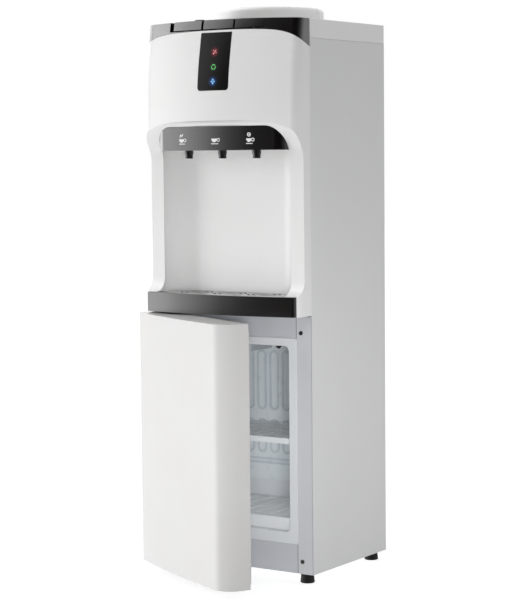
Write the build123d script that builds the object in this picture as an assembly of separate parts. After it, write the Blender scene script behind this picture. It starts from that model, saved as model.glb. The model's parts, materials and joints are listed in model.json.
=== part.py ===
from build123d import *
from math import atan2, cos, degrees, pi, radians, sin, sqrt, tan
import os

os.makedirs("parts", exist_ok=True)

# Frame: origin on the floor, X to the cooler's right, Y to the back, Z up, millimetres

# Cabinet
WIDTH = 320.0
PANEL_DEPTH = 250.0
FOOT_HEIGHT = 17.0
SPLIT_Z = 466.0
TOP_Z = 969.6
CROWN = 3.0
SKIRT_Z = TOP_Z - 32.6
SHEET = 1.0
PLASTIC = 2.5
HALF = WIDTH / 2
SKY = TOP_Z + 130.0

# Clearances
SEAT = 0.3
RUN = 0.05
LINE = 0.6

# Front bow, as stations of drop below the top, corner depth and extra bow at the middle
CORNER_R = 16.0
STATIONS = [
    (229.6, 46.0, 16.0),
    (184.6, 46.0, 16.0),
    (139.6, 45.2, 15.4),
    (99.6, 43.2, 14.6),
    (59.6, 39.4, 12.8),
    (24.6, 35.0, 10.8),
    (-CROWN, 30.8, 9.0),
]

# Niche deck, arch and pillars
DECK_Z = TOP_Z - 220.6
PILLAR_Y = -22.0
NICHE_HALF = HALF - 26.4
ARCH_TOP = DECK_Z + 41.5
ARCH_R = 35.0
ROUND_R = 26.0

# Cove from the pillars' face up to the forehead
COVE_LOW = DECK_Z - 7.4
COVE_TOP = DECK_Z + 50.5
COVE_DEPTH = 31.7
COVE_LOW_R = 45.0
COVE_TOP_R = 14.0

# Edge between forehead and band: flat part, its drop, then insets from the side with their drops
BAND_SLOPE = 0.4
BAND_FLAT = 60.0
BAND_DROP = 19.5
BAND_EDGE = [(66, 19.9), (43, 21.3), (30, 23.3), (18, 26.3), (9, 29.7), (-6, 36.6)]

# Dispensing niche and tray
NICHE_BACK = 24.0
NICHE_R = 45.0
TRAY_HALF = HALF - 5.0
TRAY_CORNER = 49.0
TRAY_BOW = 14.0
TRAY_BOTTOM = SPLIT_Z + 0.4
TRAY_TOP = TRAY_BOTTOM + 33.9
GRILLE_T = 3.0

# Taps and their keys
TAP_PITCH = 71.0
TAP_Y = -31.0
TAP_FACE = 45.5
TAP_BOW = 5.5
TAP_CORNER = 19.0
TAP_IN_Z = DECK_Z + 23.0
NOZZLE_Z = DECK_Z - 14.0
NOZZLE_R = 6.75
ROD_R = 2.5
TAP_BODY_TOP = ARCH_TOP - 4.5
KEY_SPANS = [(-94.8, -34.0), (-29.3, 32.4), (36.3, 95.1)]
KEY_ROOM = (-103.5, 97.0)
KEY_BOTTOM_Z = TOP_Z - 13.0
KEY_FLOOR_Z = KEY_BOTTOM_Z - 2.1
KEY_BACK = 12.0
KEY_PIVOT_Y = 6.0
KEY_PIVOT_Z = TOP_Z - 5.0
PIVOT_R = 2.0
ROD_TOP = TOP_Z - 13.0
LOCK_X = -52.0
LOCK_Y = -20.0

# Front moulding walls
SKIN = 3.2
BAND_WALL = 2.5
KEY_WALL = 2.0

# Indicator panel
PANEL_T = 1.8
LENS_R = 6.2
LENS_Z = [TOP_Z - 52.7, TOP_Z - 78.5, TOP_Z - 103.1]
PANEL_HALF = 32.0
PANEL_TOP = TOP_Z - 19.4
PANEL_BOTTOM = TOP_Z - 118.6

# Bottle seat
COLLAR_Y = 116.0
COLLAR_R = 100.0
COLLAR_TOP = TOP_Z + 26.9
NECK_R = 84.0
PROBE_Z = TOP_Z - 41.6

# Rear, tanks and cooling gear
REAR_Y = PANEL_DEPTH - 18.0
BAY_FLOOR = SPLIT_Z + 0.1
TANK_R = 70.0
TANK_HIGH = TOP_Z - 54.6
TANK_LOW = TANK_HIGH - 140.0
TANK_FOAM_R = 86.0
HOT_X = -78.0
HOT_Y = 140.0
HOT_R = 46.0
HOT_LOW = BAY_FLOOR + 53.9
HOT_TOP = HOT_LOW + 170.0
COMP_X = 66.0
COMP_Y = 135.0
COMP_Z = BAY_FLOOR + 13.9
COMP_R = 60.0
CAP_X = [62.0, 112.0]
CAP_Z = BAY_FLOOR + 223.9
SWITCH_X = [-118.0, -92.0]
SWITCH_Z = BAY_FLOOR + 253.9
SWITCH_PIVOT_Y = REAR_Y - 3.5
GLAND_X = HALF - 34.0
GLAND_Z = FOOT_HEIGHT + 45.0
VENT_Z = SKIRT_Z - 157.0
COIL_Y = REAR_Y + 8.5
COIL_R = 2.4
COIL_HALF = HALF - 42.0
COIL_PITCH = 44.0
COIL_ROWS = 10
COIL_LOW = 170.0
WIRE_R = 0.9
WIRE_PITCH = 18.0

# Fridge
STILE = 31.5
FRAME_TOP = SPLIT_Z - 2.0
RAIL_Z = FRAME_TOP - 39.0
KICK_Z = FOOT_HEIGHT + 52.0
OPEN_HALF = HALF - STILE - 14.5
OPEN_LOW = KICK_Z + 19.0
OPEN_HIGH = RAIL_Z - 13.0
OPEN_R = 9.0
LINER_BACK = 178.0
LINER_T = 1.5
SHELF_TOP = 250.0
SHELF_T = 6.2
SHELF_LIP = 10.0
LEDGE_TOP = SHELF_TOP - SHELF_T - SEAT
CRISPER_TOP = OPEN_LOW + 22.0
RIDGE_PITCH = 27.0
CLIP_X = 79.0
SCREW_X = HALF - 22.0
SCREW_Z = [FOOT_HEIGHT + 21.5, RAIL_Z + 10.5]

# Door, drawn shut and then swung about its hinge
DOOR_AJAR = 27.6
HINGE_X = -(HALF - 10.5)
HINGE_Y = -20.0
DOOR_LOW = FOOT_HEIGHT + 1.2
DOOR_HIGH = FRAME_TOP - 0.7
DOOR_BACK = -5.0
DOOR_DEPTH = 53.0
DOOR_BOW = 5.0
DOOR_FREE_R = 34.0
DOOR_HINGE_R = 12.0
PIN_R = 3.0

# Cup-holder screw holes in the right side panel
CUP_HOLE_Y = 129.3
CUP_HOLE_Z = TOP_Z - 174.8
CUP_HOLE_GAP = 30.0
CUP_HOLE_R = 1.6

# Feet
FOOT_X = HALF - 22.0
FOOT_FRONT_Y = 15.4
FOOT_BACK_Y = PANEL_DEPTH - 16.0
FOOT_R = 12.6


def box(x0, x1, y0, y1, z0, z1):
    return Pos((x0 + x1) / 2, (y0 + y1) / 2, (z0 + z1) / 2) * Box(x1 - x0, y1 - y0, z1 - z0)


def rod(x, y, z0, z1, r):
    return Pos(x, y, (z0 + z1) / 2) * Cylinder(r, z1 - z0)


def rod_x(x0, x1, y, z, r):
    return Pos((x0 + x1) / 2, y, z) * Rot(0, 90, 0) * Cylinder(r, x1 - x0)


def rod_y(x, y0, y1, z, r):
    return Pos(x, (y0 + y1) / 2, z) * Rot(90, 0, 0) * Cylinder(r, y1 - y0)


def one(parts):
    out = parts[0]
    for p in parts[1:]:
        out = out + p
    return out


def save(name, shape):
    solids = shape.solids()
    shape = solids[0] if len(solids) == 1 else Compound(children=list(solids))
    export_step(shape, "parts/" + name + ".step")


def bow_edges(half, back, corner, bow, r, z):
    """Closed plan outline with a bowed front and round corners."""
    a = Vector(-half, back, z)
    b = Vector(-half, -(corner - r), z)
    m = Vector(-half + r * (1 - cos(pi / 4)), -(corner - r) - r * sin(pi / 4), z)
    c = Vector(-half + r, -corner, z)
    f = Vector(0, -(corner + bow), z)
    d = Vector(half - r, -corner, z)
    n = Vector(half - r * (1 - cos(pi / 4)), -(corner - r) - r * sin(pi / 4), z)
    e = Vector(half, -(corner - r), z)
    g = Vector(half, back, z)
    return [
        Line(a, b), ThreePointArc(b, m, c), ThreePointArc(c, f, d),
        ThreePointArc(d, n, e), Line(e, g), Line(g, a),
    ]


def bow_face(half, back, corner, bow, r, z):
    return Face(Wire(bow_edges(half, back, corner, bow, r, z)))


def front_mass(inset=0.0, back=0.0, shift=0.0):
    """Everything inside the cooler's front above the split, shrunk by an inset."""
    d0, c0, b0 = STATIONS[0]
    r = CORNER_R - inset * 0.6
    low = bow_face(HALF - inset, back, c0 - inset, b0, r, SPLIT_Z - inset)
    lower = extrude(low, amount=TOP_Z - d0 - SPLIT_Z + inset, dir=(0, 0, 1))
    rows = [bow_face(HALF - inset, back, c - inset, b, r, TOP_Z - d).outer_wire() for d, c, b in STATIONS]
    mass = lower + Solid.make_loft(rows)
    return Pos(0, shift, 0) * mass if shift else mass


def arch_wire(half, top, r, low, y):
    h = r * (1 - cos(pi / 4))
    v = r * sin(pi / 4)
    a = Vector(-half, y, low)
    b = Vector(-half, y, top - r)
    c = Vector(-half + r, y, top)
    d = Vector(half - r, y, top)
    e = Vector(half, y, top - r)
    g = Vector(half, y, low)
    m = Vector(-half + h, y, top - r + v)
    n = Vector(half - h, y, top - r + v)
    rise = [Line(a, b), ThreePointArc(b, m, c), Line(c, d), ThreePointArc(d, n, e)]
    return Wire(rise + [Line(e, g), Line(g, a)])


def arch_block(half, top, r, low, y0, y1):
    return extrude(Face(arch_wire(half, top, r, low, y0)), amount=y1 - y0, dir=(0, 1, 0))


def above_band(drop=0.0):
    """Everything over the arched edge between the white forehead and the dark band."""
    y = -70.0
    ref = -34.0
    edge = [(0, BAND_DROP), (BAND_FLAT, BAND_DROP)] + [(HALF - inset, d) for inset, d in BAND_EDGE]
    pts = [(x, TOP_Z - d + drop - BAND_SLOPE * (y - ref)) for x, d in edge]
    left = [(-x, z) for x, z in reversed(pts[1:])]
    chain = [Vector(x, y, z) for x, z in left + pts]
    up_b = Vector(chain[-1].X, y, SKY)
    up_a = Vector(chain[0].X, y, SKY)
    face = Face(Wire([Spline(*chain), Line(chain[-1], up_b), Line(up_b, up_a), Line(up_a, chain[0])]))
    return extrude(face, amount=110, dir=(0, 1, -BAND_SLOPE))


def over_crown(y0, y1, drop=0.0):
    """A block whose underside is the crowned top line."""
    low = TOP_Z - 0.2 - drop
    ends = [Vector(-HALF - 5, y0, low), Vector(0, y0, TOP_Z + CROWN - drop), Vector(HALF + 5, y0, low)]
    rise = ThreePointArc(*ends)
    a = Vector(HALF + 5, y0, SKY)
    b = Vector(-HALF - 5, y0, SKY)
    face = Face(Wire([rise, Line(ends[2], a), Line(a, b), Line(b, ends[0])]))
    return extrude(face, amount=y1 - y0, dir=(0, 1, 0))


def side_recess(g=0.0):
    """Takes the pillars back, from a round over the tray to the cove under the forehead."""
    back = PILLAR_Y + g
    low = TRAY_TOP + 0.4 - g
    lean = atan2(COVE_DEPTH, COVE_TOP - COVE_LOW)
    knee = COVE_LOW + g * tan(lean / 2)
    top = COVE_TOP + g
    nose = back - (top - knee) * tan(lean)
    corners = [(back, low), (back, knee), (nose, top)]
    points = [Vector(-HALF - 5, y, z) for y, z in [(-130, low), *corners, (-130, top)]]
    face = Face(Wire.make_polygon(points))
    for (y, z), r in zip(corners, (ROUND_R, COVE_LOW_R, COVE_TOP_R)):
        corner = face.vertices().sort_by_distance((-HALF - 5, y, z))[:1]
        face = face.fillet_2d(r + g, corner)
    return extrude(face, amount=WIDTH + 10, dir=(1, 0, 0))


def plan_block(half, back, corner, bow, r, z0, z1):
    return extrude(bow_face(half, back, corner, bow, r, z0), amount=z1 - z0, dir=(0, 0, 1))


def niche_mouth(g=0.0):
    """The opening in the fascia, wider behind its front lip so that the niche moulding slides in."""
    k = g + 2.4 if g else 0.0
    low = SPLIT_Z - 20
    lip = arch_block(NICHE_HALF + k, ARCH_TOP + g, ARCH_R + g, low, -130, 20)
    if g:
        return lip
    return lip + arch_block(NICHE_HALF + 2.4, ARCH_TOP + 2.4, ARCH_R + 2.4, low, PILLAR_Y + 3, 20)


def front_voids(g=0.0):
    x = TRAY_HALF + LINE + g
    tray = box(-x, x, -130, PILLAR_Y + g, SPLIT_Z - 20, TRAY_TOP + 0.4 + g)
    return niche_mouth(g) + side_recess(g) + tray


def panel_block(clear=0.0):
    """The indicator panel's outline, carried through the forehead."""
    half = PANEL_HALF + clear
    block = box(-half, half, -90, 0, PANEL_BOTTOM - clear, PANEL_TOP + clear)
    return fillet(block.edges().filter_by(Axis.Y).group_by(Axis.Z)[0], 6.0 + clear)


def swing(shape):
    turn = Pos(HINGE_X, HINGE_Y, 0) * Rot(0, 0, -DOOR_AJAR) * Pos(-HINGE_X, -HINGE_Y, 0)
    return turn * shape


def make_fascia(mass):
    body = mass - front_voids() - above_band()
    body = body - (front_mass(SKIN, 5) - front_voids(SKIN))
    sink = (panel_block(0.25) & mass) - front_mass(0, 10, PANEL_T + 0.2)
    body = body - sink
    for i in (-1, 0, 1):
        body = body - rod(i * TAP_PITCH, TAP_Y, ARCH_TOP - 6, ARCH_TOP + 14, ROD_R + 1.5)
    return body


def make_panel(mass):
    skin = (panel_block() & mass) - front_mass(0, 10, PANEL_T)
    holes = one([rod_y(0, -90, 0, z, LENS_R + 0.1) for z in LENS_Z])
    lenses = one([rod_y(0, -90, 0, z, LENS_R) for z in LENS_Z])
    return skin - holes, skin & lenses


def key_room_block(x0, x1):
    return box(x0, x1, -90, KEY_BACK + 2.6, KEY_FLOOR_Z, SKY)


def make_band(mass):
    x0, x1 = KEY_ROOM
    w = BAND_WALL
    over = above_band(0.25)
    crown = over_crown(-130, 60)
    shell = (mass & over) - crown
    core = (front_mass(w, 5) - over_crown(-130, 60, w)) & box(-HALF, HALF, -130, 5, TOP_Z - 70, SKY)
    floor = box(x0 - w, x1 + w, -90, 0, KEY_FLOOR_Z - w, KEY_FLOOR_Z)
    ends = box(x0 - w, x0, -90, 0, KEY_FLOOR_Z - w, SKY) + box(x1, x1 + w, -90, 0, KEY_FLOOR_Z - w, SKY)
    shell = (shell - core) + ((floor + ends) & (mass & over)) - crown
    back = KEY_BACK + 2.6
    tail = box(x0 - w, x1 + w, -0.1, back + w, KEY_FLOOR_Z - w, SKY) - crown
    band = shell + tail - key_room_block(x0, x1)
    for i in (-1, 0, 1):
        band = band - rod(i * TAP_PITCH, TAP_Y, KEY_FLOOR_Z - 14, KEY_FLOOR_Z + 4, ROD_R + 2)
    return band - rod_x(x0 - w - 1, x1 + w + 1, KEY_PIVOT_Y, KEY_PIVOT_Z, PIVOT_R + RUN)


def make_key(i):
    x0, x1 = KEY_SPANS[i]
    w = KEY_WALL
    tap_x = (i - 1) * TAP_PITCH
    block = front_mass(0, KEY_BACK) & box(x0, x1, -90, KEY_BACK, KEY_BOTTOM_Z, SKY)
    core = front_mass(w, KEY_BACK) & box(x0 + w, x1 - w, -90, KEY_BACK - w, KEY_BOTTOM_Z - 1, SKY)
    key = block - over_crown(-130, 60) - (core - over_crown(-130, 60, w))
    finger = rod(tap_x, TAP_Y, ROD_TOP + SEAT, TOP_Z + 1.4, 3.0)
    key = key + (finger - over_crown(-130, 60, 0.5))
    if i == 0:
        key = key - box(LOCK_X - 6, LOCK_X + 12, LOCK_Y - 2, LOCK_Y + 2, TOP_Z - 3.6, SKY)
    return key - rod_x(x0 - 1, x1 + 1, KEY_PIVOT_Y, KEY_PIVOT_Z, PIVOT_R + RUN)


def make_key_rod():
    return rod_x(KEY_ROOM[0] - BAND_WALL, KEY_ROOM[1] + BAND_WALL, KEY_PIVOT_Y, KEY_PIVOT_Z, PIVOT_R)


def make_child_lock():
    z = TOP_Z + CROWN + 0.1
    cap = box(LOCK_X - 7, LOCK_X + 7, LOCK_Y - 5, LOCK_Y + 5, z, z + 2.4)
    cap = fillet(cap.edges().group_by(Axis.Z)[-1], 0.8)
    stem = box(LOCK_X - 4, LOCK_X + 4, LOCK_Y - 1.7, LOCK_Y + 1.7, TOP_Z - 2.4, z + 1)
    foot = box(LOCK_X - 4, LOCK_X + 4, LOCK_Y - 4, LOCK_Y + 4, TOP_Z - 3, TOP_Z - 1)
    return cap + stem + foot


def make_top_cover():
    w = PLASTIC
    x0, x1 = KEY_ROOM
    back = PANEL_DEPTH + 10
    outer = box(-HALF, HALF, 0, PANEL_DEPTH, SKIRT_Z, SKY) - over_crown(-5, back)
    inner = box(-HALF + w, HALF - w, -1, PANEL_DEPTH - w, SKIRT_Z - 1, SKY) - over_crown(-5, back, w)
    cover = outer - inner - box(x0 - 3, x1 + 3, -1, KEY_BACK + 5.6, SKIRT_Z + 5, SKY)
    bore = rod(0, COLLAR_Y, TOP_Z - 70, SKY, NECK_R + 0.7)
    rim = rod(0, COLLAR_Y, TOP_Z - 7.6, TOP_Z + 1.4, NECK_R + 3.5) - over_crown(-5, back, 0.5)
    return cover + rim - bore


def make_collar():
    r = COLLAR_R
    n = NECK_R - 0.5
    z = TOP_Z + CROWN + SEAT
    h = COLLAR_TOP
    low = TOP_Z - 27.6
    p = PROBE_Z
    b = 8.0
    k = b * (1 - cos(pi / 4))
    wire = Wire([
        Line((n, 0, low), (n, 0, z)), Line((n, 0, z), (r, 0, z)), Line((r, 0, z), (r, 0, h - b)),
        ThreePointArc((r, 0, h - b), (r - k, 0, h - k), (r - b, 0, h)),
        Line((r - b, 0, h), (84, 0, h)), Line((84, 0, h), (78, 0, h - 5)),
        Line((78, 0, h - 5), (36, 0, p + 23)), Line((36, 0, p + 23), (36, 0, p)),
        Line((36, 0, p), (31, 0, p)), Line((31, 0, p), (31, 0, p - 2)),
        Line((31, 0, p - 2), (39, 0, p - 2)), Line((39, 0, p - 2), (39, 0, p + 21.5)),
        Line((39, 0, p + 21.5), (n - 3, 0, h - 8)), Line((n - 3, 0, h - 8), (n - 3, 0, low)),
        Line((n - 3, 0, low), (n, 0, low)),
    ])
    return Pos(0, COLLAR_Y, 0) * revolve(Face(wire), Axis.Z)


def make_probe():
    p = PROBE_Z
    disc = rod(0, 0, p + 0.1, p + 3, 36 - SEAT)
    for k in range(6):
        a = radians(60 * k + 30)
        disc = disc - rod(23 * cos(a), 23 * sin(a), p - 8, p + 12, 6)
    spike = rod(0, 0, p + 3, p + 34, 9) + Pos(0, 0, p + 34) * Sphere(9)
    spike = spike - rod(0, 0, p - 8, p + 30, 6.5) - rod_x(-20, 20, 0, p + 24, 3)
    return Pos(0, COLLAR_Y, 0) * (disc + spike)


def niche_plan(inset, front, z0, z1):
    """The niche's rounded plan, open toward the front."""
    h = NICHE_HALF - 0.6 - inset
    b = NICHE_BACK - inset
    r = NICHE_R - inset
    block = box(-h, h, -140, b, z0, z1)
    block = fillet(block.edges().filter_by(Axis.Z).group_by(Axis.Y)[-1], r)
    return block - box(-h - 1, h + 1, -141, front, z0 - 1, z1 + 1)


def make_niche():
    w = 2.4
    low = SPLIT_Z + 0.3
    wall = niche_plan(-w, PILLAR_Y + 3.4, low, DECK_Z + w) - niche_plan(0, -90, low + 2, DECK_Z)
    r = TAP_CORNER - 4.3
    front = plan_block(NICHE_HALF - 4.6, PILLAR_Y + 4, TAP_FACE - 3.9, TAP_BOW, r, DECK_Z, DECK_Z + w)
    deck = front + wall
    for i in (-1, 0, 1):
        deck = deck - rod(i * TAP_PITCH, TAP_Y, DECK_Z - 9, DECK_Z + 11, 8.2)
    return deck


def make_tap_fascia():
    half = NICHE_HALF - SEAT
    r = TAP_CORNER
    block = plan_block(half, PILLAR_Y + 2, TAP_FACE, TAP_BOW, r, DECK_Z, ARCH_TOP)
    core = plan_block(half - 3, PILLAR_Y + 12, TAP_FACE - 3, TAP_BOW, r - 3, DECK_Z - 1, ARCH_TOP + 1)
    arch = arch_block(half, ARCH_TOP - SEAT, ARCH_R - SEAT, DECK_Z - 5, -90, 0)
    roof = arch_block(half - 3, ARCH_TOP - 3, ARCH_R - 3, DECK_Z - 5, -90, 0)
    fascia = (block & arch) - (core & roof)
    for i in (-1, 0, 1):
        fascia = fascia - rod(i * TAP_PITCH, TAP_Y, ARCH_TOP - 6, ARCH_TOP + 4, ROD_R + 1.5)
    return fascia


def make_tap(i):
    x = i * TAP_PITCH
    z = TAP_IN_Z
    seat = DECK_Z + 2.4 + SEAT
    tap = rod(x, TAP_Y, NOZZLE_Z, DECK_Z + 4, NOZZLE_R) + rod(x, TAP_Y, DECK_Z - 6.4, DECK_Z - SEAT, 7.7)
    tap = tap + rod(x, TAP_Y, seat, TAP_BODY_TOP, 7.3)
    tap = tap + box(x - 8.5, x + 8.5, TAP_Y + 3, -12, seat, TAP_BODY_TOP - 4)
    tap = tap + rod_y(x, -14, -6, z, 4.2) + rod_y(x, -10, -8, z, 5)
    tap = tap - rod(x, TAP_Y, NOZZLE_Z - 1, DECK_Z + 4, 3.6) - rod_y(x, TAP_Y + 5, -5, z, 2.8)
    return tap - rod(x, TAP_Y, DECK_Z + 9, TAP_BODY_TOP + 1, ROD_R + RUN)


def make_plunger(i):
    x = i * TAP_PITCH
    head = rod(x, TAP_Y, ROD_TOP - 3, ROD_TOP, 4.0)
    collar = rod(x, TAP_Y, ARCH_TOP + 39, ARCH_TOP + 42, 5.5)
    return rod(x, TAP_Y, DECK_Z + 14, ROD_TOP, ROD_R) + head + collar


def grille_plan(inset, z0, z1):
    rear = niche_plan(5 + inset, -30, z0, z1)
    x = NICHE_HALF - 0.6 - 5 - inset
    return rear + plan_block(x, -29, 43 - inset, 12, 8 - inset * 0.5, z0, z1)


def make_tray():
    z0 = TRAY_BOTTOM
    z1 = TRAY_TOP
    front = plan_block(TRAY_HALF, PILLAR_Y - 2.5, TRAY_CORNER, TRAY_BOW, 5, z0, z1)
    rear = niche_plan(2, PILLAR_Y - 3, z0 + 2.8, z1)
    basin_out = grille_plan(0.2, z0 + 2.8, z1)
    under = plan_block(TRAY_HALF - 3, PILLAR_Y - 5.5, TRAY_CORNER - 3, TRAY_BOW, 4, z0 - 1, z1 - 3)
    tray = front - (under - basin_out) + rear
    tray = tray - grille_plan(3, z0 + 5.3, z1 + 1) - grille_plan(-0.35, z1 - GRILLE_T - 0.1, z1 + 1)
    return tray


def slot_ring(x, y, length, width, gap, z0, z1):
    outer = extrude(Pos(x, y, z0) * SlotOverall(length, width), amount=z1 - z0)
    inner = extrude(Pos(x, y, z0 - 1) * SlotOverall(length - 2 * gap, width - 2 * gap), amount=z1 - z0 + 2)
    return outer - inner


def make_grille():
    z0 = TRAY_TOP - GRILLE_T
    z1 = TRAY_TOP
    plate = grille_plan(0, z0, z1)
    for i in (-1, 0, 1):
        x = i * TAP_PITCH
        bars = box(x - 2, x + 2, -60, 60, z0 - 2, z1 + 2) + box(x - 60, x + 60, -14, -10, z0 - 2, z1 + 2)
        plate = plate - (slot_ring(x, -12, 62, 48, 4, z0 - 1, z1 + 1) - bars)
        plate = plate - (slot_ring(x, -12, 44, 30, 4, z0 - 1, z1 + 1) - bars)
        plate = plate - extrude(Pos(x, -12, z0 - 1) * SlotOverall(24, 5), amount=GRILLE_T + 2)
    for x in (-TAP_PITCH / 2, TAP_PITCH / 2):
        for y in (-45, 8):
            plate = plate - extrude(Pos(x, y, z0 - 1) * SlotOverall(20, 4), amount=GRILLE_T + 2)
    return plate


def make_side(s):
    t = SHEET
    top = SKIRT_Z - 0.3
    panel = box(HALF - t, HALF, 0, PANEL_DEPTH, FOOT_HEIGHT, top)
    panel = panel + box(HALF - STILE, HALF, 0, t, FOOT_HEIGHT, FRAME_TOP - 0.1)
    panel = panel + box(HALF - 12, HALF, 0, t, FRAME_TOP - 1, top)
    panel = panel + box(HALF - 14, HALF, PANEL_DEPTH - t, PANEL_DEPTH, FOOT_HEIGHT, top)
    panel = panel + box(HALF - 14, HALF, 0, PANEL_DEPTH, FOOT_HEIGHT, FOOT_HEIGHT + t)
    panel = panel - box(HALF - STILE - 1, HALF - 2.2, -1, 2, FRAME_TOP - 0.1, SPLIT_Z - 0.3)
    panel = panel - box(HALF - 1.9, HALF - 1.2, -1, 0.6, FOOT_HEIGHT - 1, FRAME_TOP)
    for z in SCREW_Z:
        panel = panel - rod_y(SCREW_X, -2, 3, z, 2.1)
    if s > 0:
        for d in (-0.5, 0.5):
            z = CUP_HOLE_Z + d * CUP_HOLE_GAP
            panel = panel - rod_x(HALF - 5, HALF + 5, CUP_HOLE_Y, z, CUP_HOLE_R)
        return panel
    return mirror(panel, about=Plane.YZ)


def make_frame_screws():
    screws = []
    for x in (-SCREW_X, SCREW_X):
        for z in SCREW_Z:
            head = rod_y(x, -1.7, 0, z, 3.7)
            head = fillet(head.edges().group_by(Axis.Y)[0], 0.8)
            slot = box(x - 2.4, x + 2.4, -2, -1.1, z - 0.5, z + 0.5)
            screws.append(head + rod_y(x, -0.5, 7, z, 1.9) - slot)
    return Compound(children=screws)


def make_top_rail():
    x = HALF - STILE - SEAT
    return box(-x, x, 0, 1, RAIL_Z + 0.3, FRAME_TOP) + box(-x, x, 0, 18, FRAME_TOP - 1, FRAME_TOP)


def make_kick():
    x = HALF - STILE - SEAT
    return box(-x, x, 0, 1, FOOT_HEIGHT, KICK_Z - 0.3) + box(-x, x, 0, 14, FOOT_HEIGHT, FOOT_HEIGHT + 1)


def make_base():
    z = FOOT_HEIGHT + 1.2
    plate = box(-HALF + 1.6, HALF - 1.6, 1.6, PANEL_DEPTH - 1.6, z, z + 1.5)
    for x, y in foot_places():
        plate = plate - rod(x, y, 10, 30, 4.6)
    for i in range(5):
        plate = plate - box(-80 + i * 36, -62 + i * 36, 150, 220, z - 1, z + 3)
    return plate


def foot_places():
    return [(x, y) for x in (-FOOT_X, FOOT_X) for y in (FOOT_FRONT_Y, FOOT_BACK_Y)]


def make_foot(x, y):
    h = FOOT_HEIGHT
    r = FOOT_R
    wire = Wire([
        Line((0, 0, 0), (r - 0.8, 0, 0)), Line((r - 0.8, 0, 0), (r, 0, 1.2)),
        Line((r, 0, 1.2), (r - 1.5, 0, h - 1.5)), Line((r - 1.5, 0, h - 1.5), (r - 2.5, 0, h - SEAT)),
        Line((r - 2.5, 0, h - SEAT), (4, 0, h - SEAT)), Line((4, 0, h - SEAT), (4, 0, h + 14)),
        Line((4, 0, h + 14), (0, 0, h + 14)), Line((0, 0, h + 14), (0, 0, 0)),
    ])
    return Pos(x, y, 0) * revolve(Face(wire), Axis.Z)


def make_foot_nuts():
    z = FOOT_HEIGHT + 2.7
    nuts = []
    for x, y in foot_places():
        hexagon = extrude(Pos(x, y, z) * RegularPolygon(8, 6), amount=6)
        nuts.append(hexagon - rod(x, y, z - 1, z + 8, 4 + RUN))
    return Compound(children=nuts)


def make_bay_floor():
    z = BAY_FLOOR
    floor = box(-HALF + 1.6, HALF - 1.6, 28.5, REAR_Y - 1.4, z - 1.5, z)
    lip = box(-HALF + 1.6, HALF - 1.6, REAR_Y - 2.4, REAR_Y - 1.4, z - 1.5, z + 14)
    return floor + lip


def opening_block(inset, y0, y1, r=OPEN_R):
    h = OPEN_HALF + inset
    block = box(-h, h, y0, y1, OPEN_LOW - inset, OPEN_HIGH + inset)
    return fillet(block.edges().filter_by(Axis.Y), r)


def make_liner():
    x = HALF - STILE + 1
    flange = box(-x, x, -2.2, 0, KICK_Z - 0.5, RAIL_Z + 0.5)
    flange = fillet(flange.edges().filter_by(Axis.Y), 4)
    flange = fillet(flange.edges().group_by(Axis.Y)[0], 0.8)
    liner = flange + opening_block(LINER_T, -0.5, LINER_BACK + LINER_T, OPEN_R + LINER_T)
    liner = liner - opening_block(0, -5, LINER_BACK)
    for s in (-1, 1):
        a = sorted((s * OPEN_HALF, s * (OPEN_HALF - 5)))
        liner = liner + box(a[0] - 0.3, a[1] + 0.3, 16, LINER_BACK - 10, LEDGE_TOP - 3, LEDGE_TOP)
    return liner


def make_foam():
    block = box(-HALF + 1.6, HALF - 1.6, 1.4, REAR_Y - 2.4, FOOT_HEIGHT + 3, FRAME_TOP - 1.4)
    block = block - opening_block(LINER_T + SEAT, -5, LINER_BACK + LINER_T + SEAT, OPEN_R + LINER_T)
    for x, y in foot_places():
        block = block - rod(x, y, 10, 38, 11)
    for x in (-SCREW_X, SCREW_X):
        for z in SCREW_Z:
            block = block - rod_y(x, 0, 9, z, 3)
    return block - rod_y(GLAND_X, REAR_Y - 9, REAR_Y, GLAND_Z, 8)


def make_evaporator():
    y = LINER_BACK - 2.8
    half = OPEN_HALF - 14
    top = OPEN_HIGH - 14
    low = OPEN_LOW + 53
    plate = box(-half, half, y, y + 1.2, low, top)
    ridges = []
    for k in range(int((2 * half - 38) / RIDGE_PITCH) + 1):
        x = -half + 14 + RIDGE_PITCH * k
        for z0, z1 in ((top - 128, top - 16), (low + 49, low + 113)):
            flat = Plane(origin=(x, y, (z0 + z1) / 2), x_dir=(0, 0, 1), z_dir=(0, -1, 0))
            ring = extrude(flat * SlotOverall(z1 - z0, 21), amount=1.5)
            ridges.append(ring - extrude(flat * SlotOverall(z1 - z0 - 9, 12), amount=3))
    bars = [box(-half + 10, half - 10, y - 1.4, y + 0.2, z, z + 3.6) for z in (low + 29, low + 36.5)]
    ends = [(x, z) for x in (-half + 8, half - 8) for z in (low + 7, top - 7)]
    posts = [rod_y(x, y + 1, LINER_BACK - SEAT, z, 3) for x, z in ends]
    return plate + one(ridges) + one(bars) + one(posts)


def make_shelf(x, y0, y1, z0, z1, count, r, cut, lip):
    """A slatted tray: a rim, a deck with slots or grooves front to back, and a front lip."""
    block = box(-x, x, y0, y1, z0, z1)
    block = fillet(block.edges().filter_by(Axis.Y).group_by(Axis.Z)[0], r)
    deck = block - box(-x + 3, x - 3, y0 + 3.5, y1 - 3, z0 - 1, z1 - 3)
    pitch = (2 * x - 18) / count
    middle = (y0 + y1) / 2
    for k in range(count):
        c = -x + 9 + pitch * (k + 0.5)
        deck = deck - box(c - pitch * 0.25, c + pitch * 0.25, y0 + 11, middle - 3, z1 - cut, z1 + 1)
        deck = deck - box(c - pitch * 0.25, c + pitch * 0.25, middle + 3, y1 - 9, z1 - cut, z1 + 1)
    return deck + box(-x, x, y0, y0 + 3.5, z1 - lip, z1 - 1)


def make_thermostat():
    case = box(-45, 7, 40, 110, OPEN_HIGH - 18, OPEN_HIGH - SEAT)
    return fillet(case.edges().filter_by(Axis.Z), 3)


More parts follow.
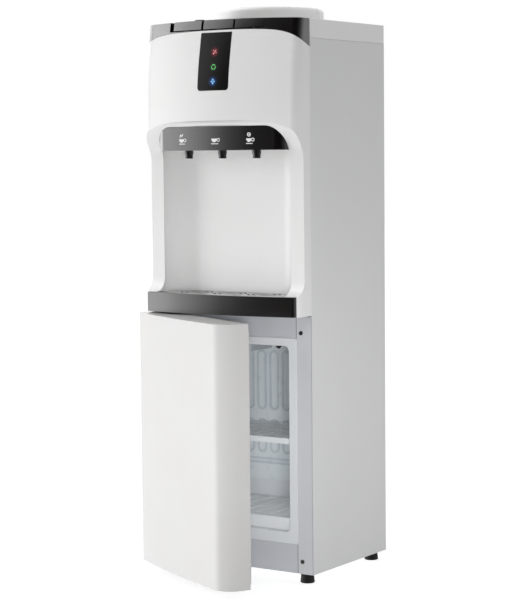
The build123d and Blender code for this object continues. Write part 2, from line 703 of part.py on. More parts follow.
def make_clip():
    block = box(CLIP_X - 3.5, CLIP_X + 3.5, 17, 24, OPEN_HIGH - 5.4, OPEN_HIGH - SEAT)
    return block + rod(CLIP_X, 20.5, OPEN_HIGH - 7.2, OPEN_HIGH - 5, 2.6)


def door_plan(inset, z0, z1, back=DOOR_BACK):
    x = HALF - 1.5 - inset
    y = DOOR_BACK - DOOR_DEPTH + inset
    a = DOOR_HINGE_R - inset * 0.8
    r = DOOR_FREE_R - inset
    p = Vector(-x, back, z0)
    q = Vector(-x, y + a, z0)
    u = Vector(-x + a, y, z0)
    m = Vector(0, y - DOOR_BOW, z0)
    v = Vector(x - r, y, z0)
    w = Vector(x, y + r, z0)
    e = Vector(x, back, z0)
    k = 1 - cos(pi / 4)
    qm = Vector(-x + a * k, y + a * k, z0)
    vm = Vector(x - r * k, y + r * k, z0)
    front = [ThreePointArc(q, qm, u), ThreePointArc(u, m, v), ThreePointArc(v, vm, w)]
    wire = Wire([Line(p, q), *front, Line(w, e), Line(e, p)])
    return extrude(Face(wire), amount=z1 - z0, dir=(0, 0, 1))


def make_door_shell():
    t = 2.6
    shell = door_plan(0, DOOR_LOW, DOOR_HIGH)
    shell = shell - door_plan(t, DOOR_LOW + t, DOOR_HIGH - t, 5)
    for z0, z1 in ((DOOR_HIGH - 26, DOOR_HIGH - 1), (DOOR_LOW + 1, DOOR_LOW + 26)):
        boss = rod(HINGE_X, HINGE_Y, z0, z1, 8) + box(HINGE_X - 8, HINGE_X, HINGE_Y - 3, HINGE_Y + 3, z0, z1)
        shell = shell + boss
    for z0, z1 in ((DOOR_HIGH - 24, DOOR_HIGH + 1), (DOOR_LOW - 1, DOOR_LOW + 24)):
        shell = shell - rod(HINGE_X, HINGE_Y, z0, z1, 5.03)
    return shell


def make_bushes():
    bore = rod(HINGE_X, HINGE_Y, 0, SPLIT_Z + 34, PIN_R + RUN)
    top = rod(HINGE_X, HINGE_Y, DOOR_HIGH - 24, DOOR_HIGH, 5) - bore
    low = rod(HINGE_X, HINGE_Y, DOOR_LOW, DOOR_LOW + 24, 5) - bore
    return Compound(children=[top, low])


def frame_block(half, y0, y1, z0, z1, r):
    """A slab with its four upright corners rounded as seen from the front."""
    return fillet(box(-half, half, y0, y1, z0, z1).edges().filter_by(Axis.Y), r)


def make_door_liner():
    x = HALF - 1.5 - 2.6 - SEAT
    edge = 2.6 + SEAT
    plate = box(-x, x, DOOR_BACK - 6, DOOR_BACK - 3.5, DOOR_LOW + edge, DOOR_HIGH - edge)
    rise = frame_block(OPEN_HALF - 6, DOOR_BACK - 4, -3.2, OPEN_LOW + 6, OPEN_HIGH - 6, 8)
    well = frame_block(OPEN_HALF - 20, DOOR_BACK - 3.5, 5, OPEN_LOW + 20, OPEN_HIGH - 20, 6)
    rail = box(-OPEN_HALF + 20, OPEN_HALF - 20, DOOR_BACK - 4, -3.2, 236, 242)
    return plate + (rise - well) + rail


def make_gasket():
    y0 = DOOR_BACK - 3.5
    outer = frame_block(HALF - 8, y0, -0.5, DOOR_LOW + 4.8, DOOR_HIGH - 9.3, 6)
    inner = frame_block(HALF - 17, y0 - 1, 1, DOOR_LOW + 13.8, DOOR_HIGH - 18.3, 3)
    return outer - inner


def make_hinge_plates():
    x = -HALF + 2.5
    z = FRAME_TOP
    top = box(x, x + 27.5, -30, 1, z, z + 1.5) + box(x, x + 51.5, 1, 17, z, z + 1.5)
    z = FOOT_HEIGHT
    low = box(x, x + 27.5, -30, 1, z - 1.5, z) + box(x, x + 6, 0, 60, z - 1.5, z)
    hole = rod(HINGE_X, HINGE_Y, 0, SPLIT_Z + 34, PIN_R + 0.02)
    return top - hole, low - hole


def make_hinge_pins():
    top = rod(HINGE_X, HINGE_Y, DOOR_HIGH - 21, FRAME_TOP + 1.5, PIN_R)
    low = rod(HINGE_X, HINGE_Y, FOOT_HEIGHT - 1.5, DOOR_LOW + 21, PIN_R)
    return top, low


def make_rear_panel():
    t = SHEET
    top = SKIRT_Z - 0.5
    half = HALF - 1.4
    near = REAR_Y - 12
    far = REAR_Y + 8
    panel = box(-half, half, REAR_Y - t, REAR_Y, FOOT_HEIGHT + 3, top)
    for s in (-1, 1):
        a = sorted((s * half, s * (half - t)))
        panel = panel + box(a[0], a[1], REAR_Y - t, PANEL_DEPTH - 1.3, FOOT_HEIGHT + 3, top)
    for k in range(9):
        z = VENT_Z + k * 14
        panel = panel - box(-100, -12, near, far, z, z + 6) - box(12, 100, near, far, z, z + 6)
    for x in CAP_X:
        panel = panel - rod_y(x, near, far, CAP_Z, 9.4)
    for x, y in foot_places():
        panel = panel - box(x - 10, x + 10, REAR_Y - 3, REAR_Y + 3, FOOT_HEIGHT - 7, FOOT_HEIGHT + 19)
    a, b = SWITCH_X
    panel = panel - box(a - 9, b + 9, near, far, SWITCH_Z - 14, SWITCH_Z + 14)
    return panel - rod_y(GLAND_X, near, far, GLAND_Z, 6.4)


def make_condenser():
    """A serpentine tube with upright wires against it on both sides."""
    top = COIL_LOW + COIL_PITCH * (COIL_ROWS - 1)
    pts = []
    for k in range(COIL_ROWS):
        z = COIL_LOW + COIL_PITCH * k
        side = 1 if k % 2 else -1
        pts += [(side * COIL_HALF, COIL_Y, z), (-side * COIL_HALF, COIL_Y, z)]
    path = FilletPolyline(*pts, radius=14)
    coil = sweep(Plane(origin=path @ 0, z_dir=path % 0) * Circle(COIL_R), path=path)
    reach = COIL_R + WIRE_R * cos(pi / 6) + 0.02
    wires = []
    for k in range(int(2 * (COIL_HALF - 19) / WIRE_PITCH) + 1):
        x = -COIL_HALF + 19 + WIRE_PITCH * k
        for y in (COIL_Y - reach, COIL_Y + reach):
            ring = Pos(x, y, COIL_LOW - 8) * RegularPolygon(WIRE_R, 6)
            wires.append(extrude(ring, amount=top - COIL_LOW + 16))
    return group(coil, *wires)


def make_condenser_clips():
    clips = []
    for x in (-70, 70):
        for z in (COIL_LOW, COIL_LOW + COIL_PITCH * (COIL_ROWS - 1)):
            block = box(x - 5, x + 5, REAR_Y, COIL_Y + 3, z - 6, z + 6)
            block = block - rod_x(x - 6, x + 6, COIL_Y, z, COIL_R + SEAT)
            clips.append(block - box(x - 6, x + 6, COIL_Y, COIL_Y + 10, z - 2, z + 2))
    return Compound(children=clips)


COMP_FEET = [(-52, -38), (52, -38), (-52, 38), (52, 38)]


def make_compressor():
    r = COMP_R
    wire = Wire([
        Line((0, 0, 4), (r - 18, 0, 4)), ThreePointArc((r - 18, 0, 4), (r - 5, 0, 10), (r, 0, 26)),
        Line((r, 0, 26), (r, 0, 124)), ThreePointArc((r, 0, 124), (r - 9, 0, 148), (r - 34, 0, 160)),
        Line((r - 34, 0, 160), (0, 0, 162)), Line((0, 0, 162), (0, 0, 4)),
    ])
    can = revolve(Face(wire), Axis.Z) + rod(0, 0, 78.5, 81.5, r + 2.5)
    can = can - rod(0, 0, 30, 120, r - 3)
    feet = box(-62, 62, -48, 48, 0, 4)
    for x, y in COMP_FEET:
        feet = feet - rod(x, y, -10, 10, 5.3)
    cover = box(r - 8, r + 14, -22, 22, 60, 120)
    ports = rod(-20, -40, 135, 175, 4) + rod(12, 38, 135, 180, 4)
    return Pos(COMP_X, COMP_Y, COMP_Z) * (can + feet + cover + ports)


def make_comp_mounts():
    mounts = []
    for x, y in COMP_FEET:
        grommet = rod(x, y, BAY_FLOOR + 0.1, COMP_Z - 0.1, 9) + rod(x, y, COMP_Z - 2, COMP_Z + 6, 5)
        mounts.append(Pos(COMP_X, COMP_Y, 0) * grommet)
    return Compound(children=mounts)


def make_cold_tank():
    wall = 1.2
    tank = rod(0, COLLAR_Y, TANK_LOW, TANK_HIGH, TANK_R)
    tank = tank - rod(0, COLLAR_Y, TANK_LOW + wall, TANK_HIGH + 1, TANK_R - wall)
    lid = rod(0, COLLAR_Y, TANK_HIGH, TANK_HIGH + 6, TANK_R + 4)
    return tank + (lid - rod(0, COLLAR_Y, TANK_HIGH - 15, SKY, 42))


def make_cold_foam():
    outer = rod(0, COLLAR_Y, TANK_LOW - 14, TANK_HIGH - 1, TANK_FOAM_R)
    return outer - rod(0, COLLAR_Y, TANK_LOW - SEAT, TANK_HIGH + 9, TANK_R + SEAT)


def make_tank_stand():
    """A tray on two legs that carries the cold tank over the bay floor."""
    z = TANK_LOW - 14
    x0 = HALF - 2.4
    x1 = HALF - 1.2
    back = REAR_Y - 1.2
    deck = rod(0, COLLAR_Y + 2, z - 2, z, TANK_FOAM_R - 2) & box(-150, 150, 30, REAR_Y - 12, z - 3, z + 1)
    legs = box(-10, 10, COLLAR_Y + 80, back, z - 2, z) + box(-10, 10, back - 1.4, back + 0.1, z - 60, z)
    wings = box(-x1, x1, COLLAR_Y - 12, COLLAR_Y + 12, z - 2, z)
    ends = one([box(a, b, COLLAR_Y - 12, COLLAR_Y + 12, z - 24, z) for a, b in ((-x1, -x0), (x0, x1))])
    return deck + legs + wings + ends


def make_hot_tank():
    middle = (HOT_LOW + HOT_TOP) / 2
    tank = Pos(HOT_X, HOT_Y, middle) * Cylinder(HOT_R, HOT_TOP - HOT_LOW)
    tank = fillet(tank.edges(), 8) - Pos(HOT_X, HOT_Y, middle) * Cylinder(HOT_R - 1.2, HOT_TOP - HOT_LOW - 20)
    tank = tank + rod(HOT_X, HOT_Y, HOT_TOP - 2, HOT_TOP + 12, 5)
    return tank + rod(HOT_X + 20, HOT_Y, HOT_LOW - 10, HOT_LOW + 2, 5)


def make_hot_wrap():
    wrap = rod(HOT_X, HOT_Y, HOT_LOW + 15, HOT_TOP - 15, HOT_R + 10)
    return wrap - rod(HOT_X, HOT_Y, HOT_LOW, HOT_TOP, HOT_R + SEAT)


def make_hot_bracket():
    z = HOT_LOW - 18
    r = HOT_R - 12
    spots = [(HOT_X + r * cos(radians(a)), HOT_Y + r * sin(radians(a))) for a in (45, 135, 225, 315)]
    legs = [rod(x, y, BAY_FLOOR, z - 1, 4) for x, y in spots]
    cup = rod(HOT_X, HOT_Y, z, HOT_LOW, 30) - rod(HOT_X, HOT_Y, z - 1, HOT_LOW + 10, 27)
    cup = cup - box(HOT_X - 60, HOT_X + 60, HOT_Y - 8, HOT_Y + 8, z + 4, HOT_LOW + 10)
    return rod(HOT_X, HOT_Y, z - 2, z, HOT_R - 2) + one(legs) + cup


def pipe_along(points, r, bend):
    path = FilletPolyline(*points, radius=bend)
    return sweep(Plane(origin=path @ 0, z_dir=path % 0) * Circle(r), path=path)


def make_hoses():
    z = TAP_IN_Z
    x = TAP_PITCH
    turn = HOT_TOP + 24
    hot = [(-x, -5.5, z), (-x, 40, z), (-x, 40, turn), (HOT_X, HOT_Y, turn), (HOT_X, HOT_Y, HOT_TOP + 12.5)]
    warm = rod_y(0, -5.5, COLLAR_Y - TANK_FOAM_R - 0.4, z, 5)
    cold = rod_y(x, -5.5, COLLAR_Y - sqrt(TANK_FOAM_R ** 2 - (x - 5) ** 2) - SEAT, z, 5)
    return group(pipe_along(hot, 5, 6), warm, cold)


def make_drain_spouts():
    spouts = []
    for x in CAP_X:
        pipe = rod_y(x, REAR_Y - 18, REAR_Y + 12, CAP_Z, 6) + rod_y(x, REAR_Y, REAR_Y + 2, CAP_Z, 13)
        pipe = pipe + rod_y(x, REAR_Y - 4, REAR_Y + 1, CAP_Z, 9)
        spouts.append(pipe - rod_y(x, REAR_Y - 22, REAR_Y + 18, CAP_Z, 4))
    return Compound(children=spouts)


def make_drain_cap(x):
    cap = rod_y(x, REAR_Y + 2 + SEAT, REAR_Y + 16.5, CAP_Z, 10)
    cap = fillet(cap.edges().group_by(Axis.Y)[-1], 1.2) - rod_y(x, REAR_Y - 2, REAR_Y + 12.6, CAP_Z, 6 + 0.08)
    for k in range(8):
        a = radians(45 * k)
        cap = cap - rod_y(x + 10.6 * cos(a), REAR_Y + 6, REAR_Y + 18, CAP_Z + 10.6 * sin(a), 1.6)
    return cap


def make_switch_bezel():
    a, b = SWITCH_X
    z = SWITCH_Z
    y = REAR_Y
    plate = box(a - 13, b + 13, y, y + 2, z - 18, z + 18)
    plate = plate + box(a - 8.6, b + 8.6, y - 16, y + 1, z - 13.6, z + 13.6)
    for x in SWITCH_X:
        plate = plate - box(x - 7, x + 7, y - 13, y + 8, z - 11, z + 11)
    return plate - rod_x(a - 8.1, b + 8.1, SWITCH_PIVOT_Y, z, 1.5 + RUN)


def make_switch(x):
    """A rocker seen from its side, carried along its pin."""
    z = SWITCH_Z
    y = REAR_Y - 3
    pts = [(x - 6.6, y - 4, z - 5), (x - 6.6, y - 4, z + 5), (x - 6.6, y + 5.2, z + 9.6)]
    pts += [(x - 6.6, y + 4.2, z), (x - 6.6, y + 7.6, z - 9.2)]
    edges = [Line(pts[k], pts[(k + 1) % len(pts)]) for k in range(len(pts))]
    rocker = extrude(Face(Wire(edges)), amount=13.2, dir=(1, 0, 0))
    return rocker + rod_x(x - 8, x + 8, SWITCH_PIVOT_Y, z, 1.5)


def make_gland():
    flange = rod_y(GLAND_X, REAR_Y, REAR_Y + 3, GLAND_Z, 10)
    sleeve = rod_y(GLAND_X, REAR_Y - 6, REAR_Y + 9, GLAND_Z, 6)
    return flange + sleeve - rod_y(GLAND_X, REAR_Y - 12, REAR_Y + 18, GLAND_Z, 3.6)


def make_rear_screws():
    y = PANEL_DEPTH
    screws = []
    for x in (-HALF + 10, HALF - 10):
        for z in (FOOT_HEIGHT + 43, 300, SPLIT_Z + 94, SKIRT_Z - 37):
            head = rod_y(x, y, y + 1.6, z, 3.4)
            screws.append(head - box(x - 2.2, x + 2.2, y + 1, y + 2, z - 0.5, z + 0.5))
    return Compound(children=screws)


def group(*shapes):
    """Separate solids that share one node."""
    return Compound(children=[solid for shape in shapes for solid in shape.solids()])


def build():
    mass = front_mass()
    panel, lenses = make_panel(mass)
    names = ["hot", "warm", "cold"]
    save("front_fascia", make_fascia(mass))
    save("indicator_panel", panel)
    save("indicator_lenses", lenses)
    save("control_band", make_band(mass))
    for i, name in enumerate(names):
        save("key_" + name, make_key(i))
        save("plunger_" + name, make_plunger(i - 1))
    save("taps", group(make_tap(-1), make_tap(0), make_tap(1)))
    save("key_rod", make_key_rod())
    save("child_lock", make_child_lock())
    save("top_cover", make_top_cover())
    save("bottle_collar", make_collar())
    save("bottle_probe", make_probe())
    save("niche_panel", make_niche())
    save("tap_fascia", make_tap_fascia())
    save("drip_tray", make_tray())
    save("drip_grille", make_grille())
    save("side_left", make_side(-1))
    save("side_right", make_side(1))
    save("front_fixings", group(make_frame_screws(), make_clip()))
    save("front_rails", group(make_top_rail(), make_kick()))
    save("base_plate", make_base())
    for (x, y), name in zip(foot_places(), ["front_left", "rear_left", "front_right", "rear_right"]):
        save("foot_" + name, make_foot(x, y))
    save("foot_nuts", make_foot_nuts())
    save("bay_floor", make_bay_floor())
    save("fridge_liner", make_liner())
    save("fridge_foam", make_foam())
    save("evaporator", make_evaporator())
    shelf_low = LEDGE_TOP + SEAT
    shelf_back = LINER_BACK - 12
    save("shelf", make_shelf(OPEN_HALF - 1.8, 8, shelf_back, shelf_low, SHELF_TOP, 16, 1, 10, SHELF_LIP))
    tray_low = OPEN_LOW + SEAT
    save("crisper_tray", make_shelf(OPEN_HALF - 2, 10, LINER_BACK - 5, tray_low, CRISPER_TOP, 7, 8.5, 1.2, 10))
    save("thermostat_box", make_thermostat())
    save("door_shell", swing(make_door_shell()))
    save("door_bushes", swing(make_bushes()))
    save("door_liner", swing(make_door_liner()))
    save("door_gasket", swing(make_gasket()))
    save("hinge_plates", group(*make_hinge_plates()))
    save("hinge_pins", group(*make_hinge_pins()))
    save("rear_panel", make_rear_panel())
    save("condenser", make_condenser())
    save("condenser_clips", make_condenser_clips())
    save("compressor", make_compressor())
    save("compressor_mounts", make_comp_mounts())
    save("tanks", group(make_cold_tank(), make_hot_tank()))
    save("tank_foam", group(make_cold_foam(), make_hot_wrap()))
    save("tank_brackets", group(make_tank_stand(), make_hot_bracket()))
    save("hoses", make_hoses())
    save("drain_spouts", make_drain_spouts())
    save("drain_cap_hot", make_drain_cap(CAP_X[0]))
    save("drain_cap_cold", make_drain_cap(CAP_X[1]))
    save("switch_bezel", make_switch_bezel())
    save("switch_heat", make_switch(SWITCH_X[0]))
    save("switch_cool", make_switch(SWITCH_X[1]))
    save("cable_gland", make_gland())
    save("rear_screws", make_rear_screws())


build()
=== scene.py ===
import json
from math import cos, pi, radians, sin

import bmesh
import bpy
from mathutils import Matrix, Vector
from mathutils.bvhtree import BVHTree


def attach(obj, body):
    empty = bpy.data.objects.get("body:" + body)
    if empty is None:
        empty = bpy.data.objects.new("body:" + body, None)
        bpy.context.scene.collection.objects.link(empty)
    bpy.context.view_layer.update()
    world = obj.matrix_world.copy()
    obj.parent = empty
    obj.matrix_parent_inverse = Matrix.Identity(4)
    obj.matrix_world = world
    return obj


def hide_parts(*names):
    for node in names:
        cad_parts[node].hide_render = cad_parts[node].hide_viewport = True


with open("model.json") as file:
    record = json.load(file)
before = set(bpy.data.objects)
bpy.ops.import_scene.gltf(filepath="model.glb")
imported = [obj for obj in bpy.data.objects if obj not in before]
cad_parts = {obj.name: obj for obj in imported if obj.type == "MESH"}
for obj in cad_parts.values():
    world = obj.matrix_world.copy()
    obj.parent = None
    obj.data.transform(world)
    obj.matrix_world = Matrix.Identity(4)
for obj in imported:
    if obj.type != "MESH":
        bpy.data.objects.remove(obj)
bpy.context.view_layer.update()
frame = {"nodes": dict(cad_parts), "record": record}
nodes = frame["nodes"]
mm = 0.001


# Camera, at the photograph's own viewpoint
CAMERA_AT = Vector((1.87199, -2.72546, 0.746911))
CAMERA_YAW = radians(33.5324)
CAMERA_PITCH = radians(4.4924)
CAMERA_ROLL = radians(-0.5266)
CAMERA_FOCAL_PX = 1894.7466
PHOTO_WIDTH_PX = 531


def set_camera():
    look = Vector((
        -sin(CAMERA_YAW) * cos(CAMERA_PITCH),
        cos(CAMERA_YAW) * cos(CAMERA_PITCH),
        -sin(CAMERA_PITCH),
    ))
    right = Vector((cos(CAMERA_YAW), sin(CAMERA_YAW), 0))
    up = right.cross(look)
    x_axis = right * cos(CAMERA_ROLL) + up * sin(CAMERA_ROLL)
    y_axis = up * cos(CAMERA_ROLL) - right * sin(CAMERA_ROLL)
    turn = Matrix((x_axis, y_axis, -look)).transposed().to_4x4()
    data = bpy.data.cameras.new("photo_camera")
    data.sensor_fit = "HORIZONTAL"
    data.sensor_width = 36
    data.lens = 36 * CAMERA_FOCAL_PX / PHOTO_WIDTH_PX
    data.clip_start = 0.05
    data.clip_end = 60
    camera = bpy.data.objects.new("photo_camera", data)
    camera.matrix_world = Matrix.Translation(CAMERA_AT) @ turn
    bpy.context.scene.collection.objects.link(camera)
    bpy.context.scene.camera = camera


# Sockets of the colour Mix node, which share their names
MIX_FACTOR, MIX_A, MIX_B, MIX_RESULT = 0, 6, 7, 2

# Lamps behind the panel: heights and glow radii in metres, and the colour of each glow
LAMP_HEIGHTS = (0.9169, 0.8911, 0.8665)
LAMP_GLOWS = ((0.050, 0.002, 0.004), (0.001, 0.006, 0.001), (0.001, 0.018, 0.075))
GLOW_OUTER = 0.0100
GLOW_INNER = 0.0066

# Depths in metres ahead of which a painted shade tone takes over from a paint
FOLD_FRONT = 0.0007
CHANNEL_FRONT = 0.17510

# Heights and half widths of the cabinet front, in millimetres
FRAME_TOP = 464
RAIL_Z = 425
KICK_Z = 69
FOOT_TOP = 17
FOLD_X = 158.9
STILE_X = 128.5

# Floor: how much of it the camera sees as plain white, and how white
FLOOR_SIZE = 14
FLOOR_PLAIN_SHARE = 0.42
FLOOR_GLOW = 1.83

# Strength of the studio as matt surfaces see it, and as gloss sees it by compass angle from the front
STUDIO_FILL = 0.475
GLOSS_STOPS = [
    (-180, 1.0), (-96, 2.6), (-83, 3.8), (-73, 5.5), (-62, 5.5), (-52, 5.0), (-47, 3.0), (-43, 2.5),
    (-38, 1.6), (-33, 0.55), (-27, 0.12), (-15, 0.02), (44, 0.01), (66, 0.12), (90, 0.35), (112, 0.9),
    (180, 1.0),
]


# Node helpers
def new_material(name):
    material = bpy.data.materials.new(name)
    material.use_nodes = True
    tree = material.node_tree
    return material, tree, tree.nodes["Principled BSDF"]


def add(tree, kind, **values):
    node = tree.nodes.new(kind)
    for key, value in values.items():
        setattr(node, key, value)
    return node


def link(tree, source, target):
    tree.links.new(source, target)


def make_group(name, inputs, outputs):
    group = bpy.data.node_groups.new(name, "ShaderNodeTree")
    for label, kind, default in inputs:
        socket = group.interface.new_socket(label, in_out="INPUT", socket_type=kind)
        socket.default_value = default
    for label, kind in outputs:
        group.interface.new_socket(label, in_out="OUTPUT", socket_type=kind)
    entry = group.nodes.new("NodeGroupInput")
    exit_node = group.nodes.new("NodeGroupOutput")
    return group, entry, exit_node


def make_skin_group():
    """Faint unevenness of a moulded or painted surface: a height, a roughness and a tint mask."""
    group, entry, out = make_group(
        "moulded_skin",
        [("Grain Scale", "NodeSocketFloat", 900.0), ("Wave Scale", "NodeSocketFloat", 9.0),
         ("Roughness", "NodeSocketFloat", 0.3), ("Roughness Spread", "NodeSocketFloat", 0.06)],
        [("Height", "NodeSocketFloat"), ("Roughness", "NodeSocketFloat"), ("Mask", "NodeSocketFloat")],
    )
    place = add(group, "ShaderNodeTexCoord")
    grain = add(group, "ShaderNodeTexNoise")
    grain.inputs["Detail"].default_value = 3
    wave = add(group, "ShaderNodeTexNoise")
    wave.inputs["Detail"].default_value = 4
    smudge = add(group, "ShaderNodeTexNoise")
    smudge.inputs["Scale"].default_value = 34
    smudge.inputs["Detail"].default_value = 6
    link(group, place.outputs["Object"], grain.inputs["Vector"])
    link(group, place.outputs["Object"], wave.inputs["Vector"])
    link(group, place.outputs["Object"], smudge.inputs["Vector"])
    link(group, entry.outputs["Grain Scale"], grain.inputs["Scale"])
    link(group, entry.outputs["Wave Scale"], wave.inputs["Scale"])
    height = add(group, "ShaderNodeMath", operation="MULTIPLY_ADD")
    height.inputs[1].default_value = 0.35
    link(group, grain.outputs["Fac"], height.inputs[0])
    link(group, wave.outputs["Fac"], height.inputs[2])
    link(group, height.outputs[0], out.inputs["Height"])
    centred = add(group, "ShaderNodeMath", operation="SUBTRACT")
    centred.inputs[1].default_value = 0.5
    link(group, smudge.outputs["Fac"], centred.inputs[0])
    rough = add(group, "ShaderNodeMath", operation="MULTIPLY_ADD", use_clamp=True)
    link(group, centred.outputs[0], rough.inputs[0])
    link(group, entry.outputs["Roughness Spread"], rough.inputs[1])
    link(group, entry.outputs["Roughness"], rough.inputs[2])
    link(group, rough.outputs[0], out.inputs["Roughness"])
    mask = add(group, "ShaderNodeMapRange")
    mask.inputs["From Min"].default_value = 0.35
    mask.inputs["From Max"].default_value = 0.7
    link(group, wave.outputs["Fac"], mask.inputs["Value"])
    link(group, mask.outputs["Result"], out.inputs["Mask"])
    return group


SKIN = make_skin_group()


def coated(
    name, colour, tint, roughness, spread=0.06, bump=0.02, grain=900.0, wave=9.0, coat=0.0, metallic=0.0,
    specular=0.5,
):
    """A moulded, painted or plated surface with two close colours and a live roughness."""
    material, tree, shader = new_material(name)
    skin = add(tree, "ShaderNodeGroup", node_tree=SKIN)
    skin.inputs["Grain Scale"].default_value = grain
    skin.inputs["Wave Scale"].default_value = wave
    skin.inputs["Roughness"].default_value = roughness
    skin.inputs["Roughness Spread"].default_value = spread
    mix = add(tree, "ShaderNodeMix", data_type="RGBA")
    mix.inputs[MIX_A].default_value = (*colour, 1)
    mix.inputs[MIX_B].default_value = (*tint, 1)
    link(tree, skin.outputs["Mask"], mix.inputs[MIX_FACTOR])
    link(tree, mix.outputs[MIX_RESULT], shader.inputs["Base Color"])
    link(tree, skin.outputs["Roughness"], shader.inputs["Roughness"])
    relief = add(tree, "ShaderNodeBump")
    relief.inputs["Strength"].default_value = bump
    relief.inputs["Distance"].default_value = 0.0004
    link(tree, skin.outputs["Height"], relief.inputs["Height"])
    link(tree, relief.outputs["Normal"], shader.inputs["Normal"])
    shader.inputs["Coat Weight"].default_value = coat
    shader.inputs["Coat Roughness"].default_value = 0.06
    shader.inputs["Metallic"].default_value = metallic
    shader.inputs["Specular IOR Level"].default_value = specular
    return material


def grey(value, warm=0.0):
    return (value + warm, value, value - warm)


def light_lenses(material):
    """Adds a glow behind each of the three round lenses: hot, power and cold."""
    tree = material.node_tree
    shader = tree.nodes["Principled BSDF"]
    place = add(tree, "ShaderNodeTexCoord")
    last = None
    for height, glow in zip(LAMP_HEIGHTS, LAMP_GLOWS):
        flat = add(tree, "ShaderNodeVectorMath", operation="MULTIPLY")
        flat.inputs[1].default_value = (1, 0, 1)
        reach = add(tree, "ShaderNodeVectorMath", operation="DISTANCE")
        reach.inputs[1].default_value = (0, 0, height)
        link(tree, place.outputs["Object"], flat.inputs[0])
        link(tree, flat.outputs["Vector"], reach.inputs[0])
        fade = add(tree, "ShaderNodeMapRange")
        fade.inputs["From Min"].default_value = GLOW_OUTER
        fade.inputs["From Max"].default_value = GLOW_INNER
        link(tree, reach.outputs["Value"], fade.inputs["Value"])
        tone = add(tree, "ShaderNodeMix", data_type="RGBA", blend_type="ADD")
        tone.inputs[MIX_A].default_value = (0, 0, 0, 1)
        tone.inputs[MIX_B].default_value = (*glow, 1)
        link(tree, fade.outputs["Result"], tone.inputs[MIX_FACTOR])
        if last:
            link(tree, last.outputs[MIX_RESULT], tone.inputs[MIX_A])
        last = tone
    link(tree, last.outputs[MIX_RESULT], shader.inputs["Emission Color"])
    shader.inputs["Emission Strength"].default_value = 1.0


def painted_shade_ahead(material, depth, colour):
    """Paints what lies ahead of a depth in its own tone: painted shade that stands in for how light falls on
    a folded front or on raised channels.
    """
    tree = material.node_tree
    shader = tree.nodes["Principled BSDF"]
    source = shader.inputs["Base Color"].links[0].from_socket
    place = add(tree, "ShaderNodeTexCoord")
    split = add(tree, "ShaderNodeSeparateXYZ")
    front = add(tree, "ShaderNodeMath", operation="LESS_THAN")
    front.inputs[1].default_value = depth
    mix = add(tree, "ShaderNodeMix", data_type="RGBA")
    mix.inputs[MIX_B].default_value = (*colour, 1)
    link(tree, place.outputs["Object"], split.inputs[0])
    link(tree, split.outputs["Y"], front.inputs[0])
    link(tree, front.outputs[0], mix.inputs[MIX_FACTOR])
    link(tree, source, mix.inputs[MIX_A])
    link(tree, mix.outputs[MIX_RESULT], shader.inputs["Base Color"])


def lit_mark(name, colour, strength):
    """A small printed mark that is lit from behind."""
    material = coated(name, colour, tuple(0.8 * c for c in colour), 0.4, bump=0.01)
    shader = material.node_tree.nodes["Principled BSDF"]
    shader.inputs["Emission Color"].default_value = (*colour, 1)
    shader.inputs["Emission Strength"].default_value = strength
    return material


# White mouldings
WHITE_MOULDING = coated(
    "white_moulding", grey(0.82), grey(0.805, 0.003), 0.26, bump=0.03, coat=0.1, specular=0.25,
)
TOP_MOULDING = coated("top_moulding", grey(0.80), grey(0.78, 0.002), 0.30, bump=0.04)
COLLAR_MOULDING = coated("collar_moulding", grey(0.93), grey(0.91, 0.003), 0.28, bump=0.03)
NICHE_MOULDING = coated("niche_moulding", grey(0.85), grey(0.835, 0.003), 0.34, bump=0.03, specular=0.3)
# Painted shade: the door shell is the same white plastic, given a much darker copy of the white moulding to
# offset the strong light falling on the door.
DOOR_MOULDING_SHADED = coated(
    "door_moulding_shaded", grey(0.595, 0.003), grey(0.58, 0.007), 0.32, bump=0.04, specular=0.35,
)
LINER = coated("liner_moulding", (0.83, 0.85, 0.87), (0.81, 0.835, 0.86), 0.3, bump=0.05)
SHELF = coated("shelf_moulding", (0.93, 0.95, 0.96), (0.91, 0.93, 0.95), 0.35, bump=0.05)
HOSE_WHITE = coated("hose_white", grey(0.72, 0.01), grey(0.66, 0.012), 0.5, bump=0.06)
THERMO = coated("thermostat_case", (0.62, 0.65, 0.68), (0.58, 0.61, 0.64), 0.45, bump=0.06)

# Black mouldings
DARK_GLOSS = coated(
    "dark_gloss", (0.005, 0.004, 0.004), (0.007, 0.006, 0.006), 0.10, spread=0.04, bump=0.008, coat=1.0,
)
DARK_SATIN = coated(
    "dark_satin", (0.012, 0.011, 0.011), (0.018, 0.016, 0.016), 0.36, bump=0.05, grain=1500.0,
)
TRAY_GLOSS = coated(
    "tray_gloss", (0.007, 0.006, 0.006), (0.009, 0.008, 0.008), 0.30, spread=0.05, bump=0.015, coat=0.30,
)
GRILLE_GLOSS = coated(
    "grille_gloss", (0.010, 0.009, 0.009), (0.014, 0.013, 0.013), 0.16, spread=0.05, bump=0.02, coat=0.8,
)
PANEL_BLACK = coated(
    "panel_black", (0.003, 0.003, 0.003), (0.005, 0.005, 0.005), 0.05, spread=0.03, bump=0.004,
    specular=0.16,
)
LENS_SMOKE = coated(
    "lens_smoke", (0.008, 0.008, 0.009), (0.01, 0.01, 0.011), 0.06, spread=0.02, bump=0.003, specular=0.25,
)
BLACK_RUBBER = coated("black_rubber", grey(0.014), grey(0.022), 0.7, bump=0.12, grain=800.0, specular=0.3)
light_lenses(LENS_SMOKE)
light_lenses(PANEL_BLACK)

